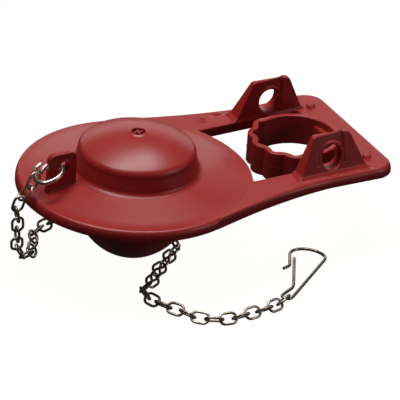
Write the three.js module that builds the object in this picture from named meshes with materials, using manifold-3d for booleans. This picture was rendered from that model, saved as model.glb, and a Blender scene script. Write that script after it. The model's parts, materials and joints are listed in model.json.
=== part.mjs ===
// Toilet flapper: a moulded rubber valve plate with a float bulb, a hinge frame with a collar and two
// ears, and a lift chain that hangs from a split ring and ends in a bent wire clip.
// Millimetres, +Z up. The origin is the centre of the disc's sealing face, and +X runs to the hinge end.

import * as THREE from "three";
import { mergeVertices } from "three/addons/utils/BufferGeometryUtils.js";
import Module from "manifold-3d";

const wasm = await Module();
wasm.setup();

// Disc, the round plate that covers the valve seat
const discRadius = 40.4;
const rimThickness = 3.8;
const rimRound = 1;
const sealRound = 0.4;
const brimRise = 3.3;
const brimRun = 16.6;

// Dome on top of the disc, and the float bulb below it
const domeX = 0.7;
const domeRadius = 21.3;
const domeTop = 20.8;
const domeDraft = 0.9;
const domeShoulder = 3;
const domeCrownRadius = 39.5;
const domeFoot = 2;
const bulbRadius = 21.6;
const bulbDepth = 26;
const bulbFoot = 1.4;
const bulbEndAngle = -80;
const bulbTopAngle = -8;
const bulbWall = 2.2;
const chamberCorner = 3;
const bleedRadius = 1.6;

// Gate mark in the middle of the dome
const gateRadius = 2.4;
const gateSlope = 1;
const gateDepth = 0.7;
const gateLip = 0.25;
const gateStub = 0.8;

// Hinge frame behind the disc
const frameThickness = 3.7;
const frameEdgeRound = 0.6;
const neckAngle = 73;
const neckLead = 17;
const waistFlare = 0.8;
const waistX = 62;
const waistHalfWidth = 28.6;
const rearHalfWidth = 29.1;
const rearX = 88.1;
const rearCorner = 7;
const windowFrontRadius = 41;
const windowHalfWidth = 19.4;
const windowRearX = 75.2;
const windowCorner = 1.5;
const windowCornerAngle = 2;

// Collar, which slides over the overflow tube
const collarX = 63.8;
const collarBoreRadius = 13.5;
const collarWall = 1.8;
const collarTop = 6.3;
const collarBottom = -4.7;
const fluteHeight = 1.3;
const notchSharpness = 3.5;
const flutesPerTurn = 12;
const fluteSpan = 150;
const partingLineHeight = 0.3;

// Ears, which hang on the pegs of the overflow tube
const earInnerY = 19.8;
const earFootThickness = 5.6;
const earTopThickness = 1.9;
const earFrontX = 51.6;
const earRearX = 77.6;
const earTopFrontX = 57.6;
const earTopRearX = 71.6;
const earTop = 17.5;
const earFrontCorner = 1.5;
const earRearCorner = 3;
const earRoot = 2;
const earFlange = 1.5;
const pocketDepth = 0.5;
const pocketBottom = 7;
const pocketRearX = 69.3;
const pocketCorner = 0.8;
const pegHoleX = 64.2;
const pegHoleZ = 9.4;
const pegHoleWidth = 7.6;
const pegHoleHeight = 8.6;
const pegHubWall = 1;

// Small ribs behind the ears, the groove along them and the mould's cavity mark
const heelRibX = 80.3;
const heelRibLength = 4.2;
const heelRibRadius = 1;
const heelRibY = 19.4;
const grooveWidth = 0.8;
const grooveDepth = 0.5;
const grooveCorner = 0.3;
const grooveFrontX = 47;
const grooveRearX = 79.5;
const grooveGap = 1.7;
const cavityMarkX = 41.2;
const cavityMarkY = 25.6;
const cavityMarkRadius = 1.8;
const cavityMarkLine = 0.5;
const cavityMarkDepth = 0.35;

// Tab that carries the split ring
const tabThickness = 2.3;
const tabInset = 6.2;
const tabWidth = 10.9;
const tabTop = 19;
const tabCorner = 3.2;
const tabHoleInset = 11.9;
const tabHoleZ = 13.9;
const tabHoleRadius = 1.9;
const tabBossWall = 0.7;
const tabBossHeight = 0.35;

// Split ring: each pair is an angle from the tab in degrees and the wire's distance from the ring's
// middle there, from the outer end to the inner one.
const ringWire = 1.6;
const ringTilt = 16;
const ringTurns = [
  [-272, 5.8],
  [-243, 5.4],
  [-203, 5.1],
  [-171, 5.7],
  [-150, 6.2],
  [-134, 6.3],
  [-115, 5.9],
  [-87, 5.1],
  [-54, 4.8],
  [-17, 4.75],
  [17, 4.7],
  [40, 4.3],
  [77, 3.5],
  [117, 2.7],
  [150, 2.7],
];

// Chain
const linkWire = 0.95;
const linkLength = 7.1;
const linkWidth = 4.8;
const linkClearance = 0.3;
const ringSlack = 0.5;
const linkCount = 46;
const backTwist = 90;
const backTwistFrom = 16;
const backTwistTo = 26;

// Bent wire clip at the chain's end
const clipWire = 1.1;
const clipEyeRadius = 1.75;
const clipLength = 33.3;
const clipHookReach = 3.2;
const clipHeading = 35;

// The clip's short leg, from its free end to the eye, and the way from the eye to the bend, both from
// the eye's centre, then the hook from the bend to the tail, from the bend's centre. A row of two
// numbers is the end of a straight, and a longer row is a curve's guide points and its end.
const clipShortLeg = [
  [27.2, 10.1],
  [9.2, 1.9],
  [7.4, 1.1, 5.4, 1.3],
  [1.4, clipEyeRadius],
];
const clipLongLeg = [[1.2, -clipEyeRadius, 3, -1.6]];
const clipHook = [
  [-1.8, 0.75],
  [0.8, 1, 1.8, 3],
  [clipHookReach + 1.6, 8.6, 0.4, 14.6, -4.4, 12.6],
  [-10.8, 9.6],
  [-12, 9, -13, 9.2],
  [-15.4, 9.9],
];

// Gap between pieces that touch, how far a cutting solid passes the surface that it cuts, and how far
// what lies on the floor keeps off it
const seatGap = 0.3;
const cutPast = 1;
const floorGap = 0.05;

const rubberRed = new THREE.MeshStandardMaterial({ color: 0x9c3532, roughness: 0.5, metalness: 0 });
const ringNickel = new THREE.MeshStandardMaterial({ color: 0xb9b4a8, roughness: 0.25, metalness: 1 });
const chainNickel = new THREE.MeshStandardMaterial({ color: 0x8a8378, roughness: 0.35, metalness: 1 });

const turn = Math.PI / 180;
const roundSteps = 52;
const chamberSteps = 32;

// A closed geometry as a solid that can be joined or cut.
function solidOf(geometry) {
  const bare = geometry.clone();
  bare.deleteAttribute("normal");
  bare.deleteAttribute("uv");
  const merged = mergeVertices(bare, 1e-4);
  const corners = merged.index.array;
  const kept = [];
  for (let i = 0; i < corners.length; i += 3) {
    const [a, b, c] = [corners[i], corners[i + 1], corners[i + 2]];
    if (a !== b && b !== c && c !== a) kept.push(a, b, c);
  }
  return new wasm.Manifold(
    new wasm.Mesh({
      numProp: 3,
      vertProperties: merged.attributes.position.array,
      triVerts: new Uint32Array(kept),
    }),
  );
}

// A solid's surface as a geometry.
function geometryOf(solid) {
  const mesh = solid.getMesh();
  const geometry = new THREE.BufferGeometry();
  geometry.setAttribute("position", new THREE.BufferAttribute(mesh.vertProperties, 3));
  geometry.setIndex(new THREE.BufferAttribute(mesh.triVerts, 1));
  geometry.computeVertexNormals();
  return geometry;
}

// A profile of [radius, height] points turned round +Z, from the axis at the bottom to the axis at the top.
function revolved(profile, steps) {
  const points = profile.map(([r, z]) => new THREE.Vector2(r, z));
  return solidOf(new THREE.LatheGeometry(points, steps).rotateX(Math.PI / 2));
}

// Points on an arc about (cx, cz), from one angle to another in degrees.
function arc(cx, cz, radius, from, to, steps) {
  const points = [];
  for (let i = 0; i <= steps; i++) {
    const angle = (from + ((to - from) * i) / steps) * turn;
    points.push([cx + radius * Math.cos(angle), cz + radius * Math.sin(angle)]);
  }
  return points;
}

// A flat outline raised along +Z, its edges rounded inside the outline by edgeRound.
function raised(shape, bottom, height, edgeRound = 0, curveSegments = 12) {
  const geometry = new THREE.ExtrudeGeometry(shape, {
    depth: height - 2 * edgeRound,
    bevelEnabled: edgeRound > 0,
    bevelThickness: edgeRound,
    bevelSize: edgeRound,
    bevelOffset: -edgeRound,
    bevelSegments: 2,
    curveSegments,
  });
  return solidOf(geometry.translate(0, 0, bottom + edgeRound));
}

// An outline drawn in X and Z, given thickness along +Y from y.
function uprightPlate(shape, y, thickness) {
  const geometry = new THREE.ExtrudeGeometry(shape, {
    depth: thickness,
    bevelEnabled: false,
    curveSegments: 5,
  });
  return solidOf(geometry.rotateX(Math.PI / 2).translate(0, y + thickness, 0));
}

// A closed outline through [x, y, radius] corners, each rounded by its radius.
function roundedOutline(corners) {
  const shape = new THREE.Shape();
  corners.forEach(([x, y, radius], i) => {
    const here = new THREE.Vector2(x, y);
    const [bx, by] = corners[(i + corners.length - 1) % corners.length];
    const [ax, ay] = corners[(i + 1) % corners.length];
    const before = new THREE.Vector2(bx, by).sub(here).normalize();
    const after = new THREE.Vector2(ax, ay).sub(here).normalize();
    const half = Math.acos(THREE.MathUtils.clamp(before.dot(after), -1, 1)) / 2;
    const reach = radius / Math.tan(half);
    const start = here.clone().addScaledVector(before, reach);
    const end = here.clone().addScaledVector(after, reach);
    if (i === 0) shape.moveTo(start.x, start.y);
    else shape.lineTo(start.x, start.y);
    if (radius > 0) shape.quadraticCurveTo(x, y, end.x, end.y);
  });
  shape.closePath();
  return shape;
}

// A round wire through the corners of a flat outline in X and Y: at each corner a circle of points,
// square to the mean of the two directions that meet there, joined to the next corner's. A closed
// outline makes a ring, and an open one ends in two flat caps.
function roundWire(corners, diameter, sides, closed) {
  const count = corners.length;
  const up = new THREE.Vector3(0, 0, 1);
  const positions = [];
  const indices = [];
  corners.forEach(([x, y], i) => {
    const before = corners[closed ? (i + count - 1) % count : Math.max(i - 1, 0)];
    const after = corners[closed ? (i + 1) % count : Math.min(i + 1, count - 1)];
    const along = new THREE.Vector3(after[0] - before[0], after[1] - before[1], 0).normalize();
    const out = along.cross(up);
    for (let j = 0; j < sides; j++) {
      const angle = (2 * Math.PI * j) / sides;
      const level = (Math.cos(angle) * diameter) / 2;
      positions.push(x + level * out.x, y + level * out.y, (Math.sin(angle) * diameter) / 2);
    }
  });
  const last = closed ? count : count - 1;
  for (let i = 0; i < last; i++) {
    const next = ((i + 1) % count) * sides;
    for (let j = 0; j < sides; j++) {
      const side = (j + 1) % sides;
      indices.push(i * sides + j, next + j, i * sides + side);
      indices.push(next + j, next + side, i * sides + side);
    }
  }
  for (let j = 1; !closed && j < sides - 1; j++) {
    indices.push(0, j, j + 1);
    indices.push(last * sides, last * sides + j + 1, last * sides + j);
  }
  const geometry = new THREE.BufferGeometry();
  geometry.setAttribute("position", new THREE.Float32BufferAttribute(positions, 3));
  geometry.setIndex(indices);
  geometry.computeVertexNormals();
  return geometry;
}

// Disc with its brim, joined to the dome and float bulb, which are turned in one, less the air chamber,
// which the bleed hole opens below.
function valveBody() {
  const brimTop = rimThickness + brimRise;
  const brimInner = discRadius - rimRound - brimRun;
  const topRadius = domeRadius - domeDraft;
  const shoulderRadius = topRadius - domeShoulder;
  const crownTurn = Math.asin(shoulderRadius / (domeCrownRadius - domeShoulder));
  const crownZ = domeTop - domeCrownRadius;
  const shoulderZ = crownZ + (domeCrownRadius - domeShoulder) * Math.cos(crownTurn);
  const crownFrom = 90 - crownTurn / turn;
  const gateFrom = 90 - Math.asin((gateRadius + gateSlope) / domeCrownRadius) / turn;
  const ellipse = (radius, depth, from, to, steps) =>
    arc(0, 0, 1, from, to, steps).map(([r, z]) => [r * radius, z * depth]);
  const chamberRadius = topRadius - bulbWall;
  const chamberTop = shoulderZ + domeShoulder - bulbWall;

  const plate = [
    [0, 0],
    [discRadius - sealRound, 0],
    [discRadius, sealRound],
    ...arc(discRadius - rimRound, rimThickness - rimRound, rimRound, 0, 90, 2),
    [brimInner, brimTop],
    [0, brimTop],
  ];
  const core = [
    [0, -bulbDepth],
    ...ellipse(bulbRadius, bulbDepth, bulbEndAngle, bulbTopAngle, 7),
    [bulbRadius + bulbFoot / 3, -bulbFoot / 2],
    [bulbRadius + bulbFoot, 0],
    [domeRadius + domeFoot, rimThickness],
    ...arc(domeRadius + domeFoot, brimTop + domeFoot - gateLip, domeFoot, 270, 180, 3),
    ...arc(shoulderRadius, shoulderZ, domeShoulder, 4, crownFrom, 5),
    ...arc(0, crownZ, domeCrownRadius, crownFrom, gateFrom, 2).slice(1),
    [gateRadius + gateLip, domeTop + gateLip],
    [gateRadius, domeTop - gateDepth],
    [gateStub, domeTop - gateDepth],
    [gateStub, domeTop - gateLip],
    [0, domeTop - gateLip],
  ];
  const chamber = [
    [0, -bulbDepth - cutPast],
    [bleedRadius, -bulbDepth - cutPast],
    ...ellipse(bulbRadius - bulbWall, bulbDepth - bulbWall, -85, 0, 6),
    [chamberRadius, rimThickness],
    ...arc(chamberRadius - chamberCorner, chamberTop - chamberCorner, chamberCorner, 0, 90, 2),
    [0, chamberTop],
  ];
  return revolved(plate, roundSteps)
    .add(revolved(core, roundSteps).translate([domeX, 0, 0]))
    .subtract(revolved(chamber, chamberSteps).translate([domeX, 0, 0]));
}

// Hinge frame: it leaves the disc's edge on a tangent, narrows to the waist and ends in a straight rear
// edge with round corners. The window's front edge follows the disc.
function hingeFrame() {
  const neck = neckAngle * turn;
  const neckX = discRadius * Math.cos(neck);
  const neckY = discRadius * Math.sin(neck);
  const outline = new THREE.Shape();
  outline.moveTo(neckX, -neckY);
  outline.bezierCurveTo(
    neckX + neckLead * Math.sin(neck),
    -(neckY - neckLead * Math.cos(neck)),
    waistX - neckLead,
    -(waistHalfWidth + waistFlare),
    waistX,
    -waistHalfWidth,
  );
  outline.lineTo(rearX - rearCorner, -rearHalfWidth);
  outline.absarc(rearX - rearCorner, -rearHalfWidth + rearCorner, rearCorner, -Math.PI / 2, 0, false);
  outline.absarc(rearX - rearCorner, rearHalfWidth - rearCorner, rearCorner, 0, Math.PI / 2, false);
  outline.lineTo(waistX, waistHalfWidth);
  outline.bezierCurveTo(
    waistX - neckLead,
    waistHalfWidth + waistFlare,
    neckX + neckLead * Math.sin(neck),
    neckY - neckLead * Math.cos(neck),
    neckX,
    neckY,
  );
  outline.closePath();

  const frontAngle = Math.asin(windowHalfWidth / windowFrontRadius) / turn;
  const frontX = windowFrontRadius * Math.cos(frontAngle * turn);
  const frontEnd = frontAngle - windowCornerAngle;
  const front = arc(0, 0, windowFrontRadius, frontEnd, -frontEnd, 8);
  const window = new THREE.Path();
  window.moveTo(frontX + windowCorner, -windowHalfWidth);
  window.lineTo(windowRearX - windowCorner, -windowHalfWidth);
  window.quadraticCurveTo(windowRearX, -windowHalfWidth, windowRearX, -windowHalfWidth + windowCorner);
  window.lineTo(windowRearX, windowHalfWidth - windowCorner);
  window.quadraticCurveTo(windowRearX, windowHalfWidth, windowRearX - windowCorner, windowHalfWidth);
  window.lineTo(frontX + windowCorner, windowHalfWidth);
  for (const [x, y] of front) window.lineTo(x, y);
  window.closePath();
  outline.holes.push(window);
  return raised(outline, rimThickness - frameThickness, frameThickness, frameEdgeRound, 10);
}

// Collar: a ring whose front half is fluted inside and out, so that its wall stays even. The flutes
// stand outwards by a rectified cosine of the angle, raised to a power that narrows them.
function collarOutline(radius, sharpness) {
  const points = [];
  const steps = 8 * flutesPerTurn;
  for (let i = 0; i < steps; i++) {
    const angle = (2 * Math.PI * i) / steps;
    const fromFront = Math.abs(Math.PI - angle) / turn;
    const flute = Math.abs(Math.cos((flutesPerTurn / 2) * (angle - Math.PI)));
    const rise = fromFront < fluteSpan / 2 ? fluteHeight * flute ** sharpness : 0;
    points.push(
      new THREE.Vector2(
        collarX + (radius + rise) * Math.cos(angle),
        (radius + rise) * Math.sin(angle),
      ),
    );
  }
  return points;
}

function collar() {
  const shape = new THREE.Shape(collarOutline(collarBoreRadius + collarWall, 1));
  const line = new THREE.Shape(collarOutline(collarBoreRadius + collarWall + partingLineHeight, 1));
  const middle = (collarTop + collarBottom) / 2;
  const wall = raised(shape, collarBottom, collarTop - collarBottom);
  return wall.add(raised(line, middle - partingLineHeight / 2, partingLineHeight));
}

function collarBore() {
  const shape = new THREE.Shape(collarOutline(collarBoreRadius, notchSharpness));
  return raised(shape, collarBottom - cutPast, collarTop - collarBottom + 2 * cutPast);
}

// The obround peg hole in an ear, or its hub, grown by margin all round.
function pegOutline(margin) {
  const radius = pegHoleWidth / 2 + margin;
  const half = (pegHoleHeight - pegHoleWidth) / 2;
  const shape = new THREE.Shape();
  shape.absarc(pegHoleX, pegHoleZ + half, radius, 0, Math.PI, false);
  shape.absarc(pegHoleX, pegHoleZ - half, radius, Math.PI, 2 * Math.PI, false);
  shape.closePath();
  return shape;
}

// All that lies outside an ear's sloping outer face, moved inwards by depth.
function outsideEar(side, depth) {
  const slope = (earTopThickness - earFootThickness) / (earTop - rimThickness);
  const reach = earRearX - earFrontX;
  const low = rimThickness - earRoot;
  const high = earTop + earRoot;
  const faceY = (z) => earInnerY + earFootThickness + slope * (z - rimThickness) - depth;
  const section = new THREE.Shape([
    new THREE.Vector2(side * faceY(low), low),
    new THREE.Vector2(side * (faceY(low) + reach), low),
    new THREE.Vector2(side * (faceY(low) + reach), high),
    new THREE.Vector2(side * faceY(high), high),
  ]);
  const geometry = new THREE.ExtrudeGeometry(section, { depth: 2 * reach, bevelEnabled: false });
  geometry.rotateX(Math.PI / 2).rotateZ(Math.PI / 2);
  return solidOf(geometry.translate(earFrontX - reach / 2, 0, 0));
}

// Ear: an upright tapered block with a plain inner face and a sloping outer one, which has a shallow
// pocket and a hub that brings the peg hole back out. side is -1 for the near ear and 1 for the far one.
function ear(side) {
  const span = earFootThickness + earRoot;
  const fromY = (depth) => (side > 0 ? earInnerY + depth : -earInnerY - depth - span);
  const slopeFront = (earTopFrontX - earFrontX) / (earTop - rimThickness);
  const slopeRear = (earTopRearX - earRearX) / (earTop - rimThickness);
  const block = roundedOutline([
    [earFrontX - earRoot * slopeFront, rimThickness - earRoot, 0],
    [earRearX - earRoot * slopeRear, rimThickness - earRoot, 0],
    [earTopRearX, earTop, earRearCorner],
    [earTopFrontX, earTop, earFrontCorner],
  ]);
  const pocketFoot = earFrontX + earFlange + slopeFront * (pocketBottom - rimThickness);
  const pocket = roundedOutline([
    [pocketFoot, pocketBottom, pocketCorner],
    [pocketRearX, pocketBottom, pocketCorner],
    [pocketRearX, earTop + earFlange, 0],
    [earTopFrontX + earFlange + slopeFront * earFlange, earTop + earFlange, 0],
  ]);
  const pocketed = uprightPlate(block, fromY(0), span)
    .subtract(uprightPlate(pocket, fromY(0), span).intersect(outsideEar(side, pocketDepth)));
  return pocketed
    .add(uprightPlate(pegOutline(pegHubWall), fromY(0), span))
    .subtract(outsideEar(side, 0))
    .subtract(uprightPlate(pegOutline(0), fromY(-cutPast), span + cutPast));
}

// Half-round rib behind an ear.
function heelRib(side) {
  const shape = new THREE.Shape();
  shape.absarc(0, 0, heelRibRadius, 0, 2 * Math.PI, false);
  const geometry = new THREE.ExtrudeGeometry(shape, {
    depth: heelRibLength,
    bevelEnabled: false,
    curveSegments: 4,
  });
  geometry.rotateY(Math.PI / 2);
  return solidOf(geometry.translate(heelRibX - heelRibLength / 2, side * heelRibY, rimThickness));
}

// Shallow groove along the outer foot of an ear.
function footGroove(side) {
  const y = side * (earInnerY + earFootThickness + grooveGap);
  const groove = roundedOutline([
    [grooveFrontX, y - grooveWidth / 2, grooveCorner],
    [grooveRearX, y - grooveWidth / 2, grooveCorner],
    [grooveRearX, y + grooveWidth / 2, grooveCorner],
    [grooveFrontX, y + grooveWidth / 2, grooveCorner],
  ]);
  return raised(groove, rimThickness - grooveDepth, grooveDepth + cutPast, 0, 2);
}

// Plain ring pressed into the far side bar by the mould.
function cavityMark() {
  const shape = new THREE.Shape();
  shape.absarc(cavityMarkX, cavityMarkY, cavityMarkRadius, 0, 2 * Math.PI, false);
  const island = new THREE.Path();
  island.absarc(cavityMarkX, cavityMarkY, cavityMarkRadius - cavityMarkLine, 0, 2 * Math.PI, false);
  shape.holes.push(island);
  return raised(shape, rimThickness - cavityMarkDepth, cavityMarkDepth + cutPast, 0, 8);
}

// Tab on the brim, square to the disc's edge, with a raised boss round its hole on both faces.
function ringTab() {
  const outerX = tabInset - discRadius;
  const plate = roundedOutline([
    [outerX, rimThickness, 0],
    [outerX + tabWidth, rimThickness, 0],
    [outerX + tabWidth, tabTop, tabCorner],
    [outerX, tabTop, tabCorner],
  ]);
  const round = (radius) => {
    const shape = new THREE.Shape();
    shape.absarc(tabHoleInset - discRadius, tabHoleZ, radius, 0, 2 * Math.PI, false);
    return shape;
  };
  const bossThickness = tabThickness + 2 * tabBossHeight;
  return uprightPlate(plate, -tabThickness / 2, tabThickness)
    .add(uprightPlate(round(tabHoleRadius + tabBossWall), -bossThickness / 2, bossThickness))
    .subtract(uprightPlate(round(tabHoleRadius), -bossThickness, 2 * bossThickness));
}

// The whole rubber moulding.
function flapper() {
  let body = valveBody().add(hingeFrame()).add(ringTab()).add(collar());
  for (const side of [-1, 1]) body = body.add(ear(side)).add(heelRib(side)).subtract(footGroove(side));
  return geometryOf(body.subtract(collarBore()).subtract(cavityMark()));
}

// Split ring: an open turn and a half of wire in its own X and Y, with X towards the tab.
function splitRing() {
  const corners = ringTurns.map(([angle, radius]) => {
    return new THREE.Vector2(radius * Math.cos(angle * turn), radius * Math.sin(angle * turn));
  });
  const points = new THREE.SplineCurve(corners).getPoints(2 * (corners.length - 1));
  return roundWire(
    points.map(({ x, y }) => [x, y]),
    ringWire,
    7,
    false,
  );
}

// The wire's distance from the ring's middle at an angle from the tab.
function ringRadiusAt(angle) {
  const next = ringTurns.findIndex(([from]) => from > angle);
  const [[before, inner], [after, outer]] = ringTurns.slice(next - 1, next + 1);
  return THREE.MathUtils.mapLinear(angle, before, after, inner, outer);
}

// The chain pulls the ring outwards and down, so its wire lies against that side of the tab's hole. The
// wire is curved, so it is nearest to the hole's edge at the two faces of the tab's boss.
const ringPull = new THREE.Vector3(-Math.cos(ringTilt * turn), 0, -Math.sin(ringTilt * turn));
const ringRadius = ringRadiusAt(0);
const ringBow = ringRadius - Math.sqrt(ringRadius ** 2 - (tabThickness / 2 + tabBossHeight) ** 2);
const ringCentre = new THREE.Vector3(tabHoleInset - discRadius, 0, tabHoleZ).addScaledVector(
  ringPull,
  tabHoleRadius - ringWire / 2 - ringBow - seatGap + ringRadius,
);
const ringTip = ringCentre.clone().addScaledVector(ringPull, ringRadiusAt(-180));

// Each link reaches past the two points where it meets its neighbours, so that the wires that cross
// there keep linkClearance between them.
const linkReach = (linkWire + linkClearance) / 2;
const linkPitch = linkLength - linkWire - 2 * linkReach;
const linkRadius = (linkWidth - linkWire) / 2;
const linkStraight = (linkLength - linkWidth) / 2;

// On the floor the links lie with their planes at 45 degrees, one leaning left and the next right.
const floorZ = -bulbDepth;
const lieAngle = 45;
const lieZ = floorZ + linkRadius * Math.sin(lieAngle * turn) + linkWire / 2 + floorGap;

// The chain's route, chosen by hand: over the rim and down, with X as the distance outwards from the
// disc's edge, then points on the floor round the bulb.
const hangingRoute = [
  [0.2, -0.4, 8.2],
  [3.8, 0, 4.2],
  [4.4, 1, -1],
  [2.8, 2.2, -6],
  [2, 3.2, -11],
  [1.2, 4.8, -15.6],
  [-0.1, 6.1, -19.5],
  [-2.8, 6.6, -22.6],
].map(([out, y, z]) => new THREE.Vector3(-discRadius - out, y, z));
const floorRoute = [
  [-34.8, 7.9],
  [-31.6, 10.4],
  [-29.6, 14],
  [-27.6, 18.1],
  [-24.8, 21.4],
  [-20.8, 24.1],
  [-16.1, 25.6],
  [-9.9, 26.6],
  [-3.3, 26.4],
  [3.5, 24.4],
  [9.5, 20.8],
  [14.2, 16.1],
  [17.7, 10.4],
  [19.1, 4.9],
  [18.2, -0.2],
  [15.9, -4.2],
  [14.5, -7.5],
  [11.5, -10.4],
  [7.6, -12.6],
  [5, -16.2],
  [0.4, -18.2],
  [-1.8, -22.8],
  [-6.2, -25.2],
  [-10.1, -28.6],
  [-11.1, -33.1],
  [-9.9, -37.5],
  [-7.5, -42],
  [-5, -46.2],
  [-3.3, -50.5],
  [0.1, -54.1],
  [4, -56.3],
  [8.9, -57.1],
  [13.7, -56.9],
  [18.6, -56.3],
  [23.4, -55.8],
  [28.1, -54.8],
  [32.2, -52.3],
  [35.6, -48.9],
].map(([x, y]) => new THREE.Vector3(x, y, lieZ));

// The points where neighbouring links meet, a pitch apart along the route. The first is where the
// first link has its end wire round the split ring, slack enough for the ring to turn.
function chainJoints() {
  const pull = hangingRoute[0].clone().sub(ringTip).normalize();
  const wrap = (ringWire + linkWire) / 2 + linkClearance + ringSlack - linkReach;
  const start = ringTip.clone().addScaledVector(pull, -wrap);
  const route = [start, ...hangingRoute, ...floorRoute];
  const curve = new THREE.CatmullRomCurve3(route, false, "centripetal");
  const joints = [start];
  for (const point of curve.getPoints(route.length * 60)) {
    const last = joints[joints.length - 1];
    const step = point.clone().sub(last);
    if (joints.length <= linkCount && step.length() >= linkPitch) {
      joints.push(last.clone().add(step.setLength(linkPitch)));
    }
  }
  return joints;
}

// One link: two half circles of wire joined by two straights, in its own X and Y.
function chainLink() {
  const corners = [
    ...arc(linkStraight, 0, linkRadius, -90, 90, 4),
    ...arc(-linkStraight, 0, linkRadius, 90, 270, 4),
  ];
  return roundWire(corners, linkWire, 6, true);
}

// Each link's place: its X along the chain, and its Y, the link's width, square to the next link's. The
// width is carried along the route without twist, then turned a little from link to link until it leans
// at lieAngle where the chain meets the floor, and by backTwist more on the way round the bulb. A link
// that stands steeper than lieAngle, or whose neighbour does, lies that much higher.
function chainPlaces() {
  const joints = chainJoints();
  const places = [];
  let before = joints[1].clone().sub(joints[0]).normalize();
  let width = new THREE.Vector3(0, 1, 0).cross(before).normalize();
  for (let i = 0; i < linkCount; i++) {
    const along = joints[i + 1].clone().sub(joints[i]).normalize();
    const bend = new THREE.Quaternion().setFromUnitVectors(before, along);
    width = width.clone().applyQuaternion(bend);
    places.push({ centre: joints[i].clone().lerp(joints[i + 1], 0.5), along, width });
    before = along;
  }
  const landed = places.findLastIndex(({ centre }) => centre.z > lieZ + 0.1) + 1;
  const { along, width: carried } = places[landed];
  const level = new THREE.Vector3(0, 0, 1).cross(along).normalize();
  const lean = Math.atan2(carried.dot(along.clone().cross(level)), carried.dot(level)) / turn;
  const landingTwist = ((((lieAngle - lean) % 90) + 135) % 90) - 45;
  return places.map((place, i) => {
    const round = THREE.MathUtils.smoothstep(i, backTwistFrom, backTwistTo);
    const roll = (i % 2) * 90 + landingTwist * Math.min(1, i / landed) + backTwist * round;
    const steep = Math.abs(((lieAngle + backTwist * round) % 90) - 45) + 45;
    const lift = i < landed ? 0 : linkRadius * (Math.sin(steep * turn) - Math.sin(lieAngle * turn));
    return {
      centre: place.centre.clone().setZ(place.centre.z + lift),
      along: place.along,
      width: place.width.clone().applyAxisAngle(place.along, roll * turn),
    };
  });
}

// Adds rows of points to a path, with their X from a given place.
function trace(path, rows, fromX) {
  for (const row of rows) {
    const [x1, y1, x2, y2, x3, y3] = row.map((value, i) => (i % 2 === 0 ? value + fromX : value));
    if (row.length === 2) path.lineTo(x1, y1);
    else if (row.length === 4) path.quadraticCurveTo(x1, y1, x2, y2);
    else path.bezierCurveTo(x1, y1, x2, y2, x3, y3);
  }
}

// Clip: one wire in its own plane, with X from the eye to the sharp bend. It runs from the free end of
// the short leg, round the eye, along the long leg and over the hook to the bent-out tail.
function chainClip() {
  const path = new THREE.Path();
  path.moveTo(...clipShortLeg[0]);
  trace(path, clipShortLeg.slice(1), 0);
  path.absarc(0, 0, clipEyeRadius, Math.PI / 2, (3 * Math.PI) / 2, false);
  trace(path, clipLongLeg, 0);
  trace(path, clipHook, clipLength);
  return roundWire(
    path.getPoints(6).map(({ x, y }) => [x, y]),
    clipWire,
    6,
    false,
  );
}

const object = new THREE.Group();

const moulding = new THREE.Mesh(flapper(), rubberRed);
moulding.name = "flapper";
object.add(moulding);

const ring = new THREE.Mesh(splitRing(), ringNickel);
ring.name = "split_ring";
ring.position.copy(ringCentre);
ring.rotation.y = -ringTilt * turn;
object.add(ring);

const linkShape = chainLink();
const places = chainPlaces();
places.forEach(({ centre, along, width }, i) => {
  const link = new THREE.Mesh(linkShape, chainNickel);
  link.name = `chain_link_${String(i + 1).padStart(2, "0")}`;
  const normal = along.clone().cross(width);
  link.quaternion.setFromRotationMatrix(new THREE.Matrix4().makeBasis(along, width, normal));
  link.position.copy(centre);
  object.add(link);
});

// The eye lies round the far end of the last link, and the clip slopes down from there to the floor.
const lastLink = places[linkCount - 1];
const eyeCentre = lastLink.centre.clone().addScaledVector(lastLink.along, (linkLength - linkWire) / 2);
const clipDrop = eyeCentre.z - (floorZ + clipWire / 2 + floorGap);
const clip = new THREE.Mesh(chainClip(), chainNickel);
clip.name = "chain_clip";
clip.position.copy(eyeCentre);
clip.rotation.set(0, Math.asin(clipDrop / (clipLength + clipHookReach)), clipHeading * turn, "ZYX");
object.add(clip);

export default object;
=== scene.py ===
"""Looks of a red rubber toilet flapper with its split ring, lift chain and wire clip.

Shapes are worked out with numpy in millimetres, in the CAD row's frame: the origin is the centre of the
disc's sealing face, +X runs to the hinge end and +Z is up. Each becomes a mesh in metres.
"""

import json

import bmesh
import bpy
import numpy as np
from mathutils import Matrix


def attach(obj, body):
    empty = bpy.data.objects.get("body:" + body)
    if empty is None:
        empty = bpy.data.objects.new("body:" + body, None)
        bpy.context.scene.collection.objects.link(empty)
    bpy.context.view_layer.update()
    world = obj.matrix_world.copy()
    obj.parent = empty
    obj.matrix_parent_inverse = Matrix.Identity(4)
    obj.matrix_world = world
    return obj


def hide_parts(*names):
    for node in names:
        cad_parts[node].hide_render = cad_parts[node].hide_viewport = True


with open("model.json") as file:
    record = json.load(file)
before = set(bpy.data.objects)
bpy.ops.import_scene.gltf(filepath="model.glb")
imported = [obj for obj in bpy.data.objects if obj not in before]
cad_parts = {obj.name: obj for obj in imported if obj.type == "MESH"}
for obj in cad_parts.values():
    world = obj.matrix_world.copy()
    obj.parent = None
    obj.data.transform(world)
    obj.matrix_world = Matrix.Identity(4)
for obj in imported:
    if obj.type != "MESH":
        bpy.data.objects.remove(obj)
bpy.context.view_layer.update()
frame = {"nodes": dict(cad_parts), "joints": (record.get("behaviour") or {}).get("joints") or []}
joints = {joint["name"]: joint for joint in frame["joints"]}

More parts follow.
